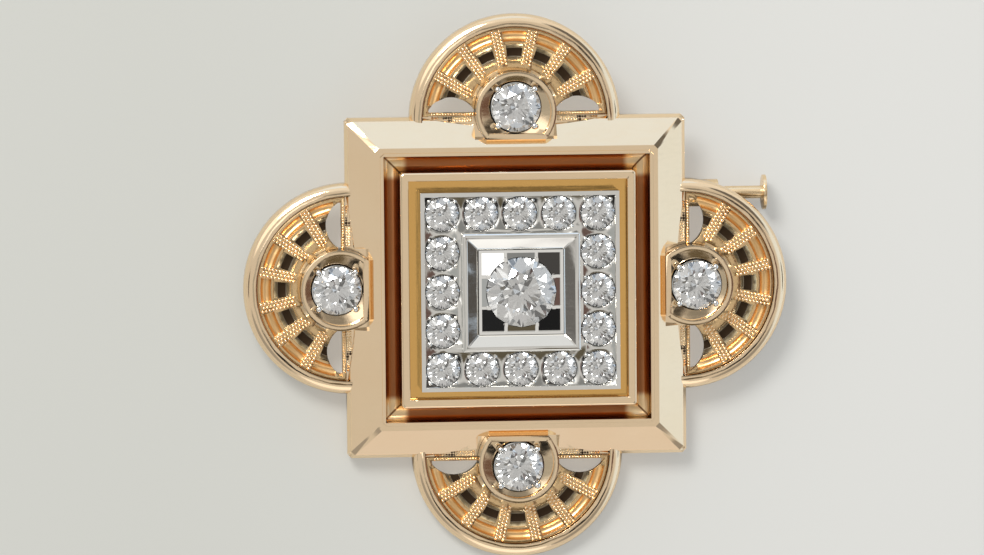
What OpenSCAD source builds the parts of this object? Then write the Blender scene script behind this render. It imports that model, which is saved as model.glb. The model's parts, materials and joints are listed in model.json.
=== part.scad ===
/* [Stepped square] */
// Side of the outer frame
frame_side = 25; // [22:0.5:28]
// Plan width of the sloping face of the outer frame
slope_w = 1.9; // [1.4:0.05:2.2]
// Plan width of the steeper strip along the frame's outer edge
strip_w = 0.25; // [0.1:0.05:0.4]
// Width of the flat ridge round the top of the outer frame
ridge_w = 0.6; // [0.4:0.05:0.9]
// Width of the raised fillet along the ridge's inner edge
fillet_w = 0.25; // [0.15:0.05:0.35]
// Width of the narrow facet on each mitred corner
hip_w = 0.4; // [0.1:0.05:0.8]
// Width of the deep trough inside the ridge
trough_w = 1.15; // [0.8:0.05:1.6]
// Radius of the coves along the bottom of the trough
cove_r = 0.5; // [0.3:0.05:0.6]
// Wall of the inner frame
inner_wall = 0.6; // [0.4:0.05:0.9]
// Width of the gutter between the inner frame and the pave plaque
gutter_w = 0.75; // [0.5:0.05:1]
// Width of the ledge that carries the plaque
ledge_w = 0.6; // [0.4:0.05:0.9]

/* [Heights above the back plane] */
// Top of the upright outer wall
edge_h = 0.75; // [0.5:0.05:1]
// Top of the steeper strip
strip_h = 1.15; // [1.05:0.05:1.4]
// Top of the ridge
ridge_h = 2.6; // [2.3:0.1:3]
// Top of the inner frame
inner_h = 3.5; // [3.2:0.1:3.9]
// Depth of the gutter below the inner frame's top
gutter_d = 1; // [0.7:0.1:1.3]
// Top of the pave plaque
plaque_h = 4.9; // [4.6:0.1:5.3]
// Top of the raised centre square
centre_h = 5.9; // [5.6:0.1:6.4]
// Height of the crest of each lobe rim
crest_h = 1.25; // [1.1:0.05:1.9]
// Height of the fan plates
fan_h = 0.95; // [0.9:0.05:1.2]
// Height of the round bezels
bezel_h = 2.5; // [2.2:0.1:2.9]

/* [Pave plaque] */
// Diameter of a border stone
melee_d = 2.45; // [2:0.05:2.6]
// Stones along each side of the border
melee_count = 5; // [4:1:5]
// Metal between a border stone and the plaque's raised border
melee_edge = 0.05; // [0.03:0.01:0.15]
// Width of the raised border round the plaque
border_w = 0.3; // [0.2:0.05:0.4]
// Height of that border above the plaque
border_h = 0.15; // [0.05:0.05:0.3]
// Thickness of the plaque's top plate
plaque_t = 1.35; // [1.2:0.05:1.6]

/* [Centre setting] */
// Diameter of the centre stone
centre_d = 5.1; // [4.6:0.1:5.4]
// Side of the square plate that carries the centre stone
head_side = 6.2; // [5.8:0.1:6.4]
// Plan width of the slope round that plate
dish_w = 0.85; // [0.6:0.05:1]
// Width of the flat top of the raised square
centre_land = 0.35; // [0.25:0.05:0.5]
// Width of the raised lines on the plate
line_w = 0.2; // [0.15:0.05:0.3]

/* [Lobes] */
// Outer radius of a lobe
lobe_r = 7.75; // [7:0.05:8.2]
// How far the lobe's centre lies inside the frame's edge
lobe_inset = 0.25; // [0:0.05:0.5]
// Wall of the lobe rim at its base
rim_w = 0.95; // [0.8:0.05:1.1]
// Width of the narrow crest land
crest_w = 0.22; // [0.15:0.01:0.3]
// Thickness of a fan plate
fan_t = 0.8; // [0.7:0.05:0.85]
// Gap between a fan plate and the rim round it
fan_gap = 0.08; // [0.04:0.01:0.12]
// Bays in each fan
bay_count = 7; // [5:2:7]
// Angle between neighbouring bays
bay_pitch = 24; // [22:0.5:24.5]
// Angle of one cell
cell_angle = 13; // [10:0.5:15]
// Angle of one outer panel
panel_angle = 16; // [12:0.5:18]
// Length of a cell along its bay
cell_l = 1.25; // [1:0.05:1.3]
// Metal left under the cells
cell_floor = 0.2; // [0.15:0.05:0.3]
// Width of an outer panel, a half-round groove
panel_w = 0.75; // [0.5:0.05:0.8]
// Plan width of the sloping walls at the inner and outer end of a cell
cell_slope = 0.3; // [0.2:0.05:0.4]
// Width of the lens-shaped openings between a fan and the frame
eye_w = 1.1; // [0.9:0.05:1.4]
// Length of those openings along the frame
eye_l = 3.6; // [3:0.1:3.8]
// Width of the strip of fan between an opening and the frame
eye_strip_w = 0.25; // [0.15:0.05:0.4]
// How far the hollow behind each lobe cuts into the frame
hollow_w = 0.75; // [0.5:0.05:0.9]

/* [Lobe settings] */
// Diameter of a lobe stone
lobe_stone_d = 3.55; // [3.2:0.05:3.8]
// Room between a lobe stone and the wall of its bezel
bezel_room = 0.8; // [0.7:0.05:0.9]
// Wall of a bezel
bezel_wall = 0.38; // [0.3:0.02:0.5]
// How much of a bezel's roundness its flat side takes off
bezel_cut = 0.95; // [0.7:0.05:1]
// Width of metal left between a bezel's flat side and the trough
bezel_web = 1.15; // [0.9:0.05:1.3]
// Height of the sloping seat inside a bezel
seat_h = 1.55; // [1.3:0.05:1.7]
// Gap between a lobe stone and the flat side of its bezel
flat_gap = 0.15; // [0.1:0.05:0.3]
// Diameter of a claw
claw_d = 0.5; // [0.4:0.05:0.6]

/* [Pin and catch] */
// Distance of the pin above the middle of the brooch
pin_y = 6.5; // [6:0.1:7.6]
// Diameter of the pin
pin_d = 0.9; // [0.7:0.05:1]
// Diameter of the pin where the plunger covers it
tip_d = 0.5; // [0.4:0.02:0.56]
// Outside diameter of the catch barrel
barrel_d = 2; // [2:0.05:2.3]
// Length of the catch barrel
barrel_l = 5; // [4.3:0.05:5.2]
// Diameter of the plunger's thin tube
plunger_d = 0.94; // [0.9:0.02:1.1]
// Diameter of the plunger's head
plunger_head_d = 2.6; // [2.4:0.05:2.8]
// Thickness of the plunger's head
plunger_head_t = 0.25; // [0.2:0.05:0.6]
// Length of tube that shows when the plunger is pulled out
plunger_travel = 3; // [2.5:0.1:3.2]
// Diameter of the hinge rivet
rivet_d = 0.6; // [0.5:0.02:0.7]

/* [Hidden] */
$fn = 64;

// clearances
solder_gap = 0.02;   // between pieces that are soldered together
stone_gap = 0.05;    // between a stone and the metal round it
running_gap = 0.03;  // between a moving piece and its bearing, on the radius
side_gap = 0.05;     // beside a moving piece
eps = 0.01;          // how far a cutter passes beyond the face that it cuts

// heights of the pin hardware
pin_z = plunger_head_d / 2;
barrel_r = barrel_d / 2;
saddle_t = 0.3;
back_z = pin_z + barrel_r + saddle_t;

// nested squares, as half widths
frame_half = frame_side / 2;
land_half = frame_half - strip_w - slope_w;
well_half = land_half - ridge_w;
inner_half = well_half - trough_w;
pocket_half = inner_half - inner_wall;
plaque_half = pocket_half - gutter_w;
open_half = plaque_half - ledge_w;
ledge_h = inner_h - gutter_d;
gallery_low = 0.3;
gallery_t = 0.6;
plaque_wall = 0.5;
arris = 0.1;         // small flat along the top edge of a frame
gallery_h = gallery_low + gallery_t;
fillet_h = 0.12;

// border stones, in rows that follow the plaque's edge
melee_row = plaque_half - border_w - melee_edge - melee_d / 2;
melee_pitch = 2 * melee_row / (melee_count - 1);
melee_total = 4 * (melee_count - 1);

// centre square
head_half = head_side / 2;
centre_half = head_half + dish_w + centre_land;
skirt_w = 0.45;
skirt_half = head_half + skirt_w;
dish_d = 0.5;
head_h = centre_h - dish_d;
head_t = 1.2;
head_claw_d = 0.32;
line_h = 0.15;

// stone proportions, as shares of the diameter
crown_share = 0.15;
pavilion_share = 0.43;
girdle_share = 0.03;
table_share = 0.56;
star_share = 0.76;
lower_share = 0.24;
light_share = 0.22;  // radius of the light hole under a stone

// levels of the girdles, and how far each lies below the metal round it
melee_drop = 0.03;
centre_drop = 0.4;
lobe_stone_drop = 0.3;
melee_z = plaque_h - melee_drop;
centre_z = centre_h - centre_drop;
lobe_stone_z = bezel_h - lobe_stone_drop;

// lobes
lobe_x = frame_half - lobe_inset;
rim_in = lobe_r - rim_w;
shoulder_h = 0.6;
rim_seat_w = 0.5;
flat_x = well_half + bezel_web;
bezel_r = lobe_stone_d / 2 + bezel_room + bezel_wall;
bezel_x = flat_x + bezel_r - bezel_cut;
hollow_h = 0.65;
hollow_end = 0.6;
hollow_chord = lobe_r - hollow_end;
hollow_r = (pow(hollow_chord, 2) + pow(hollow_w, 2)) / (2 * hollow_w);
seat_r = lobe_stone_d / 2 + 0.15;
seat_slope = 0.4;
lobe_stone_x = flat_x + bezel_wall + flat_gap + lobe_stone_d / 2;
fan_r = rim_in - fan_gap;
eye_edge_x = frame_half + side_gap + eye_strip_w;
eye_r = (pow(eye_l / 2, 2) + pow(eye_w, 2)) / (2 * eye_w);
eye_y = bezel_r - 0.1 + eye_l / 2;
panel_lip = 0.22;
bar_w = 0.2;
cell_out = fan_r - panel_lip - panel_w - bar_w;
slit_w = 0.25;
slit_pitch = 31;
slit_angle = 16;
floor_t = 0.4;

// hinge, pin and catch along the pin's axis
knuckle_w = 1;
knuckle_r = 0.8;
cheek_t = 0.45;
cheek_r = 0.95;
hinge_inset = 1.3;
hinge_x = -(frame_half - hinge_inset);
hinge_plate_t = 0.45;
hinge_plate_l = 2.5;
hinge_plate_lip = 0.3;
rivet_head_t = 0.12;
barrel_inset = 0.4;
barrel_in = well_half + barrel_inset;
cap_t = 0.6;
tip_reach = 2.1;     // how far the pin's tip goes into the barrel
tip_x = barrel_in + tip_reach;
plunger_in = tip_x + 0.4;
collar_d = 1.5;
collar_l = 1.1;
head_x = barrel_in + barrel_l + 0.3 + plunger_travel;
plunger_bore_d = 0.74;
shoulder_l = 1.1;
// places along the pin, back from its tip
taper_from = tip_x - 8;
taper_to = tip_x - 3.1;
point_from = tip_x - 1;
point_r = 0.04;

SIDES = ["east", "north", "west", "south"];
LOBE_PIECES = ["rim", "fan", "bezel", "collet", "diamond"];

function two_digits(n) = n < 10 ? str("0", n) : str(n);
function melee_name(n) = str("border_diamond_", two_digits(n));
function lobe_name(side, piece) = str(side, "_", piece);

// Corner of the border where a run of stones starts, going clockwise from the upper left
function melee_place(n) =
    let (run = floor(n / (melee_count - 1)), step = n % (melee_count - 1))
    let (along = -melee_row + step * melee_pitch)
    run == 0 ? [along, melee_row] :
    run == 1 ? [melee_row, -along] :
    run == 2 ? [-along, -melee_row] : [-melee_row, along];

module gold() { color("goldenrod") children(); }
module white_gold() { color("gainsboro") children(); }
module diamond_white() { color("azure") children(); }

// A square block. Its outline lists [half width, height] from the bottom up. The same
// outline on the diagonals cuts the narrow facets on the corners.
module stepped_block(outline, facet) {
    reach = 4 * outline[0][0];
    diagonal = [for (p = outline) [p[0] * sqrt(2) - facet / 2, p[1]]];
    intersection() {
        upright_prism(outline, reach);
        rotate([0, 0, 90]) upright_prism(outline, reach);
        rotate([0, 0, 45]) upright_prism(diagonal, reach);
        rotate([0, 0, 135]) upright_prism(diagonal, reach);
    }
}

module upright_prism(outline, reach) {
    last = len(outline) - 1;
    right = outline;
    left = [for (i = [last:-1:0]) [-outline[i][0], outline[i][1]]];
    rotate([90, 0, 0]) linear_extrude(reach, center = true) polygon(concat(right, left));
}

module square_hole(half, low, high) {
    translate([-half, -half, low]) cube([2 * half, 2 * half, high - low]);
}

// Round brilliant stone with its girdle at height 0
module brilliant(d) {
    r = d / 2;
    table_r = r * table_share;
    crown = d * crown_share;
    pavilion = d * pavilion_share;
    girdle = d * girdle_share / 2;
    star_r = r * star_share;
    star_z = crown * (r - star_r * cos(22.5)) / (r - table_r);
    lower_r = r * lower_share;
    lower_z = -pavilion * (1 - lower_r * cos(22.5) / r);
    function ring(count, turn, radius, z) =
        [for (k = [0:count - 1]) let (a = turn + k * 360 / count) [radius * cos(a), radius * sin(a), z]];
    points = concat(
        ring(8, 0, table_r, girdle + crown),
        ring(8, 22.5, star_r, girdle + star_z),
        ring(16, 0, r, girdle),
        ring(16, 0, r, -girdle),
        ring(8, 22.5, lower_r, -girdle + lower_z),
        [[0, 0, -girdle - pavilion]]);
    star = 8;
    top = 16;
    under = 32;
    lower = 48;
    culet = 56;
    faces = concat(
        [[for (k = [7:-1:0]) k]],
        [for (k = [0:7]) [k, (k + 1) % 8, star + k]],
        [for (k = [0:7]) [k, star + k, top + 2 * k, star + (k + 7) % 8]],
        [for (k = [0:7]) [star + k, top + 2 * k + 1, top + 2 * k]],
        [for (k = [0:7]) [star + k, top + (2 * k + 2) % 16, top + 2 * k + 1]],
        [for (k = [0:15]) [top + k, top + (k + 1) % 16, under + (k + 1) % 16, under + k]],
        [for (k = [0:7]) [lower + k, under + 2 * k, under + 2 * k + 1]],
        [for (k = [0:7]) [lower + k, under + 2 * k + 1, under + (2 * k + 2) % 16]],
        [for (k = [0:7]) [culet, lower + (k + 7) % 8, under + 2 * k, lower + k]]);
    polyhedron(points, faces);
}

// The room that a stone needs in its metal, round its pavilion, girdle and crown
module stone_room(d) {
    r = d / 2 + stone_gap;
    girdle = d * girdle_share / 2;
    crown = d * crown_share;
    pavilion = d * pavilion_share * (1 + 2 * stone_gap / d);
    translate([0, 0, -girdle - pavilion]) cylinder(h = pavilion + eps, r1 = 0, r2 = r);
    translate([0, 0, -girdle]) cylinder(h = 2 * girdle, r = r);
    translate([0, 0, girdle - eps]) cylinder(h = crown + stone_gap, r1 = r, r2 = 0.72 * d / 2);
}

// ---- stepped square ----

frame_outline = [
    [frame_half, back_z],
    [frame_half, back_z + edge_h],
    [frame_half - strip_w, back_z + strip_h],
    [land_half, back_z + ridge_h - fillet_h],
    [well_half + fillet_w, back_z + ridge_h - fillet_h],
    [well_half + fillet_w - 0.02, back_z + ridge_h]];

// Solid form of a bezel, with the flat that faces the ridge
module bezel_form(r, low, high) {
    intersection() {
        translate([bezel_x, 0, low]) cylinder(h = high - low, r = r);
        translate([flat_x + bezel_r - r, -2 * r, low]) cube([4 * r, 4 * r, high - low]);
    }
}

module outer_frame() {
    gold() difference() {
        stepped_block(frame_outline, hip_w);
        square_hole(well_half, back_z - 1, back_z + ridge_h + 1);
        for (k = [0:3]) rotate([0, 0, 90 * k]) {
            bezel_form(bezel_r + solder_gap, back_z - 1, back_z + ridge_h + 1);
            translate([0, 0, back_z + hollow_h]) {
                translate([flat_x - solder_gap, -bezel_r - 0.05, 0])
                    cube([frame_half, 2 * bezel_r + 0.1, ridge_h]);
                translate([frame_half - hollow_w + hollow_r, 0, 0])
                    cylinder(h = ridge_h, r = hollow_r, $fn = 180);
            }
        }
    }
}

// Square block whose sides follow an outline, with sharp mitres
module mitred_block(outline) {
    reach = 4 * frame_half;
    intersection() {
        upright_prism(outline, reach);
        rotate([0, 0, 90]) upright_prism(outline, reach);
    }
}

// Floor of the trough, with a cove along each wall
module gallery_plate() {
    outer = well_half - solder_gap;
    inner = inner_half + solder_gap;
    top = back_z + gallery_h;
    steps = 8;
    gold() difference() {
        square_hole(outer, back_z + gallery_low, top + cove_r);
        difference() {
            mitred_block(concat(
                [for (i = [0:steps]) let (a = 90 * i / steps)
                    [outer - cove_r + cove_r * sin(a), top + cove_r * (1 - cos(a))]],
                [[outer, top + cove_r + 1]]));
            mitred_block(concat(
                [[inner + cove_r, top - 1]],
                [for (i = [0:steps]) let (a = 90 * i / steps)
                    [inner + cove_r - cove_r * sin(a), top + cove_r * (1 - cos(a))]],
                [[inner, top + cove_r + 2]]));
        }
        square_hole(inner, top, top + cove_r + 1);
        square_hole(open_half, back_z, top + 1);
    }
}

module inner_frame() {
    low = back_z + gallery_h;
    gold() difference() {
        stepped_block([
            [inner_half, low],
            [inner_half, back_z + inner_h - arris],
            [inner_half - arris, back_z + inner_h]], hip_w / 2);
        square_hole(pocket_half, back_z + ledge_h, back_z + inner_h + 1);
        square_hole(open_half, low - 1, back_z + inner_h);
    }
}

module plaque() {
    low = back_z + ledge_h;
    top = back_z + plaque_h;
    white_gold() difference() {
        union() {
            square_hole(plaque_half, low, top);
            difference() {
                square_hole(plaque_half, top - eps, top + border_h);
                square_hole(plaque_half - border_w, top - 1, top + border_h + 1);
            }
        }
        square_hole(plaque_half - plaque_wall, low - 1, top - plaque_t);
        square_hole(skirt_half + solder_gap, low, top + 1);
        for (n = [0:melee_total - 1]) translate(melee_place(n)) {
            translate([0, 0, back_z + melee_z]) stone_room(melee_d);
            translate([0, 0, low]) cylinder(h = top - low, r = melee_d * light_share);
        }
    }
}

module centre_frame() {
    low = back_z + plaque_h;
    top = back_z + centre_h;
    white_gold() difference() {
        union() {
            stepped_block([
                [centre_half, low],
                [centre_half, top - arris],
                [centre_half - arris, top]], arris);
            square_hole(skirt_half, low - 1, low + eps);
        }
        square_hole(head_half, low - 2, top + 1);
        translate([0, 0, top]) mirror([0, 0, 1])
            stepped_block([
                [head_half + dish_w, 0],
                [head_half, dish_d],
                [head_half - arris, dish_d]], arris);
    }
}

// Square plate with nine fields. Thin raised lines part them and end in small claws.
module centre_head() {
    top = back_z + head_h;
    half = head_half - solder_gap;
    line_x = head_side / 6 + 0.1;
    claw_out = sqrt(pow(centre_d / 2, 2) - pow(line_x, 2));
    white_gold() difference() {
        union() {
            square_hole(half, top - head_t, top);
            for (k = [0:3]) rotate([0, 0, 90 * k]) {
                translate([-half, line_x - line_w / 2, top - eps]) cube([2 * half, line_w, line_h + eps]);
                translate([-half, half - line_w, top - eps]) cube([2 * half, line_w, line_h + eps]);
                for (s = [-1, 1]) translate([claw_out + 0.08, s * line_x, top - eps])
                    cylinder(h = centre_h - head_h - 0.1, d = head_claw_d, $fn = 24);
            }
        }
        translate([0, 0, back_z + centre_z]) stone_room(centre_d);
        translate([0, 0, top - head_t - 1]) cylinder(h = head_t + 2, r = centre_d * light_share);
    }
}

module centre_diamond() {
    diamond_white() translate([0, 0, back_z + centre_z]) brilliant(centre_d);
}

module border_diamond(n) {
    diamond_white() translate(melee_place(n - 1)) translate([0, 0, back_z + melee_z]) brilliant(melee_d);
}

// ---- lobes, drawn on the +X side ----

// Half ring whose outer face rolls down from the crest
module rim_section() {
    roll_w = lobe_r - rim_in - crest_w;
    roll_h = crest_h - shoulder_h;
    steps = 6;
    polygon(concat(
        [[rim_in - rim_seat_w, 0], [lobe_r, 0]],
        [for (i = [0:steps]) let (a = 90 * i / steps)
            [lobe_r - roll_w * (1 - cos(a)), shoulder_h + roll_h * sin(a)]],
        [[rim_in, crest_h], [rim_in, fan_h - fan_t], [rim_in - rim_seat_w, fan_h - fan_t]]));
}

module rim() {
    gold() difference() {
        translate([lobe_x, 0, back_z]) {
            rotate([0, 0, -90]) rotate_extrude(angle = 180, $fn = 128) rim_section();
            for (s = [0, 1]) mirror([0, s, 0]) rotate([90, 0, -90]) linear_extrude(slope_w) rim_section();
        }
        upright_prism(concat([[frame_half, back_z - 1]], frame_outline), 4 * lobe_r);
    }
}

// Part of a ring about the lobe's centre
module ring_sector(r_in, r_out, middle, angle, low, high) {
    translate([lobe_x, 0, 0]) rotate([0, 0, middle - angle / 2])
        rotate_extrude(angle = angle, $fn = 96) translate([r_in, low]) square([r_out - r_in, high - low]);
}

// Half-round groove that follows a ring about the lobe's centre
module ring_groove(r, d, middle, angle, level) {
    translate([lobe_x, 0, 0]) rotate([0, 0, middle - angle / 2])
        rotate_extrude(angle = angle, $fn = 96) translate([r, level]) circle(d = d, $fn = 32);
}

// Sunk cell of a bay. Its inner and outer walls slope, and its sides stand upright.
module cell(middle, floor_z, top) {
    rise = top - floor_z;
    translate([lobe_x, 0, 0]) rotate([0, 0, middle - cell_angle / 2])
        rotate_extrude(angle = cell_angle, $fn = 96) polygon([
            [cell_out - cell_l + cell_slope, floor_z],
            [cell_out - cell_slope, floor_z],
            [cell_out + cell_slope / rise, top + 1],
            [cell_out - cell_l - cell_slope / rise, top + 1]]);
}

// Lens-shaped opening beside the frame
module eye(y, low) {
    intersection() {
        translate([eye_edge_x + eye_w - eye_r, y, low]) cylinder(h = 4, r = eye_r, $fn = 96);
        translate([eye_edge_x, y - eye_l, low]) cube([eye_l, 2 * eye_l, 4]);
    }
}

// D-shaped plate. Each bay holds a groove by the rim, a sunk cell and a slit by the bezel.
module fan() {
    top = back_z + fan_h;
    low = top - fan_t;
    floor_z = low + cell_floor;
    last = (bay_count - 1) / 2;
    gold() difference() {
        translate([lobe_x, 0, low]) cylinder(h = fan_t, r = fan_r, $fn = 128);
        translate([frame_half + side_gap - 2 * lobe_r, -lobe_r, low - 1])
            cube([2 * lobe_r, 2 * lobe_r, 4]);
        for (s = [-1, 1]) eye(s * eye_y, low - 1);
        translate([bezel_x, 0, low - 1]) cylinder(h = 4, r = bezel_r + solder_gap);
        for (k = [-last:last]) {
            cell(k * bay_pitch, floor_z, top);
            ring_groove(fan_r - panel_lip - panel_w / 2, panel_w, k * bay_pitch, panel_angle, top);
        }
        for (k = [1:last - 1]) for (s = [-k, k]) translate([bezel_x - lobe_x, 0, 0])
            ring_sector(bezel_r - 0.1, bezel_r + slit_w, s * slit_pitch, slit_angle, floor_z, top + 1);
    }
}

module bezel() {
    gold() difference() {
        bezel_form(bezel_r, back_z, back_z + bezel_h);
        bezel_form(bezel_r - bezel_wall, back_z + seat_h, back_z + bezel_h + 1);
        translate([lobe_stone_x, 0, back_z + floor_t])
            cylinder(h = seat_h - floor_t + eps, r1 = seat_r - seat_slope, r2 = seat_r);
        translate([bezel_x, 0, back_z - 1]) cylinder(h = 3, r = bezel_r * 0.3);
    }
}

// Cup with four claws that holds the lobe's stone
module collet() {
    low = floor_t;
    girdle = lobe_stone_z;
    cup_top = girdle - 0.25;
    cup_r = lobe_stone_d / 2 + stone_gap;
    claw_at = lobe_stone_d / 2 + 0.12;
    claw_low = seat_h + side_gap;
    claw_high = cup_top + 0.45;
    white_gold() translate([lobe_stone_x, 0, back_z]) difference() {
        union() {
            translate([0, 0, low]) cylinder(h = cup_top - low, r1 = cup_r * 0.62, r2 = cup_r);
            for (k = [0:3]) rotate([0, 0, 45 + 90 * k]) translate([claw_at, 0, claw_low]) {
                cylinder(h = claw_high - claw_low, d = claw_d, $fn = 24);
                translate([0, 0, claw_high - claw_low]) sphere(d = claw_d, $fn = 24);
            }
        }
        translate([0, 0, girdle]) stone_room(lobe_stone_d);
        translate([0, 0, low - 1]) cylinder(h = 4, r = lobe_stone_d * light_share);
    }
}

module lobe_diamond() {
    diamond_white() translate([lobe_stone_x, 0, back_z + lobe_stone_z]) brilliant(lobe_stone_d);
}

module lobe_piece(piece) {
    if (piece == "rim") rim();
    if (piece == "fan") fan();
    if (piece == "bezel") bezel();
    if (piece == "collet") collet();
    if (piece == "diamond") lobe_diamond();
}

// ---- pin, hinge and catch ----

// Cylinder along the pin's axis from one place to another
module along_pin(from, to, r1, r2) {
    translate([from, pin_y, pin_z]) rotate([0, 90, 0]) cylinder(h = to - from, r1 = r1, r2 = r2);
}

// Cylinder across the pin, on the hinge's axis
module across_hinge(width, r) {
    translate([hinge_x, pin_y, pin_z]) rotate([90, 0, 0]) cylinder(h = width, r = r, center = true);
}

module hinge_base() {
    inside = knuckle_w + 2 * side_gap;
    outside = inside + 2 * cheek_t;
    plate_z = back_z - hinge_plate_t;
    gold() difference() {
        union() {
            across_hinge(outside, cheek_r);
            translate([hinge_x - cheek_r, pin_y - outside / 2, pin_z])
                cube([2 * cheek_r, outside, back_z - pin_z]);
            translate([hinge_x - hinge_plate_l / 2, pin_y - outside / 2 - hinge_plate_lip, plate_z])
                cube([hinge_plate_l, outside + 2 * hinge_plate_lip, hinge_plate_t]);
        }
        translate([hinge_x - 3, pin_y - inside / 2, pin_z - 3]) cube([6, inside, plate_z - pin_z + 3]);
        across_hinge(outside + 1, rivet_d / 2 + 0.01);
    }
}

module hinge_rivet() {
    length = knuckle_w + 2 * side_gap + 2 * cheek_t;
    white_gold() {
        across_hinge(length, rivet_d / 2);
        for (s = [-1, 1]) translate([0, s * (length + rivet_head_t) / 2, 0])
            across_hinge(rivet_head_t, rivet_d / 2 + rivet_head_t);
    }
}

module pin_stem() {
    gold() difference() {
        union() {
            across_hinge(knuckle_w, knuckle_r);
            along_pin(hinge_x, hinge_x + shoulder_l, knuckle_w / 2, pin_d / 2);
            along_pin(hinge_x + shoulder_l - eps, taper_from, pin_d / 2, pin_d / 2);
            along_pin(taper_from - eps, taper_to, pin_d / 2, tip_d / 2);
            along_pin(taper_to - eps, point_from, tip_d / 2, tip_d / 2);
            along_pin(point_from - eps, tip_x, tip_d / 2, point_r);
        }
        across_hinge(knuckle_w + 1, rivet_d / 2 + running_gap);
    }
}

module catch_saddle() {
    length = frame_half - well_half - 0.5;
    gold() difference() {
        translate([well_half + 0.45, pin_y - barrel_r - 0.1, back_z - 0.75])
            cube([length, 2 * barrel_r + 0.2, 0.75]);
        along_pin(well_half, well_half + length + 1, barrel_r + 0.005, barrel_r + 0.005);
    }
}

module catch_barrel() {
    barrel_out = barrel_in + barrel_l;
    slot_w = tip_d + 0.3;
    gold() difference() {
        along_pin(barrel_in, barrel_out, barrel_r, barrel_r);
        along_pin(barrel_in - 1, barrel_out - cap_t, collar_d / 2 + running_gap, collar_d / 2 + running_gap);
        along_pin(barrel_in, barrel_out + 1, plunger_d / 2 + running_gap, plunger_d / 2 + running_gap);
        translate([barrel_in - 1, pin_y - slot_w / 2, pin_z - 2 * barrel_r])
            cube([tip_x - barrel_in + 1.2, slot_w, 2 * barrel_r]);
    }
}

module plunger_tube() {
    gold() difference() {
        union() {
            along_pin(plunger_in, plunger_in + collar_l, collar_d / 2, collar_d / 2);
            along_pin(plunger_in, head_x, plunger_d / 2, plunger_d / 2);
        }
        along_pin(plunger_in - 1, plunger_in + plunger_travel + 0.2, plunger_bore_d / 2, plunger_bore_d / 2);
    }
}

module plunger_head() {
    gold() along_pin(head_x, head_x + plunger_head_t, plunger_head_d / 2, plunger_head_d / 2);
}

outer_frame();
gallery_plate();
inner_frame();
plaque();
centre_frame();
centre_head();
centre_diamond();
for (n = [1:melee_total])
    border_diamond(n);
for (k = [0:3]) for (piece = LOBE_PIECES)
    rotate([0, 0, 90 * k]) lobe_piece(piece);
hinge_base();
hinge_rivet();
pin_stem();
catch_saddle();
catch_barrel();
plunger_tube();
plunger_head();
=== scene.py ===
# %% [markdown]
# # A retro gold brooch
#
# The brooch is a square of yellow gold that rises in steps, with four half-round pierced
# lobes. White-gold settings hold round diamonds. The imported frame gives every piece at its
# real size. This lesson adds what only the eye needs: softened edges, grains of fused gold,
# and metals and stones that take the light.

# %% Load the frame
import json
import math

import bmesh
import bpy
from mathutils import Matrix, Vector


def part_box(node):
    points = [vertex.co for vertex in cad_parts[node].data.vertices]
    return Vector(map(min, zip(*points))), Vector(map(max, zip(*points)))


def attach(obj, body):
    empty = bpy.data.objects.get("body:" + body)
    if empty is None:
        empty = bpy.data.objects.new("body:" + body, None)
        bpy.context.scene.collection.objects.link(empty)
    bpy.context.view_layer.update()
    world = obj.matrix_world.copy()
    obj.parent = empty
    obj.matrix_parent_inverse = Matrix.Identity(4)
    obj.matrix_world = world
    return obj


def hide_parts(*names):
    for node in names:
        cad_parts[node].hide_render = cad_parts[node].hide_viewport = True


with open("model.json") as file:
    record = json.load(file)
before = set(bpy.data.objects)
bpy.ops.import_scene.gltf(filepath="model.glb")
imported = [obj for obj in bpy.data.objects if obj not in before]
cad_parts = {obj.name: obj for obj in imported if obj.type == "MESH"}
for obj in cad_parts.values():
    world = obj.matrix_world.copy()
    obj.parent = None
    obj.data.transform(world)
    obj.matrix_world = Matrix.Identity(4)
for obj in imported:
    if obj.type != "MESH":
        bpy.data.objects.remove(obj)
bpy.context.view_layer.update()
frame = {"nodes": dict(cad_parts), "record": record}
MM = 0.001
SIDES = ("east", "north", "west", "south")

# %% [markdown]
# ## The camera
#
# A brooch is small, so it is shot from far off with a long lens, which keeps its squares
# square. The camera could be placed by hand, but a few named values say more: how wide the
# view is at the brooch, how far off the camera stands, and how much it leans off the
# brooch's own axis. A small shift of the lens then moves the brooch in the view without
# turning the camera.

# %% Camera
VIEW_W = 72.2 * MM
DISTANCE = 450 * MM
SENSOR = 36.0
CLIP_START = 0.01
LEAN = Vector((-0.081, 0.095, 1)).normalized()
ROLL = math.radians(0.47)
SHIFT = (-0.02424, 0.00854)
AIM = Vector((0, 0, 3.3 * MM))


def make_camera():
    camera = bpy.data.objects.new("camera", bpy.data.cameras.new("camera"))
    bpy.context.scene.collection.objects.link(camera)
    up = Vector((math.sin(ROLL), math.cos(ROLL), 0))
    right = up.cross(LEAN).normalized()
    up = LEAN.cross(right)
    turn = Matrix((right, up, LEAN)).transposed().to_4x4()
    camera.matrix_world = Matrix.Translation(AIM + DISTANCE * LEAN) @ turn
    camera.data.sensor_width = SENSOR
    camera.data.lens = SENSOR * DISTANCE / VIEW_W
    camera.data.clip_start = CLIP_START
    camera.data.shift_x, camera.data.shift_y = SHIFT
    bpy.context.scene.camera = camera
    return camera


camera = make_camera()
bpy.context.scene.view_settings.view_transform = "Standard"
print("lens", round(camera.data.lens), "mm")

# %% [markdown]
# ## Small helpers for node trees
#
# Every finish below is a few nodes. They could be wired by hand in the Shader Editor. In
# code, one helper adds a node with its settings, puts a number or a colour on a socket, and
# links one socket to another. The rest are named for what a finish asks for: a sum, a soft
# step between two values, a blend of two colours, and how far a point lies from the middle.

# %% Node helpers
MIX_COLOURS = (6, 7)
MIX_RESULT = 2


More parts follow.
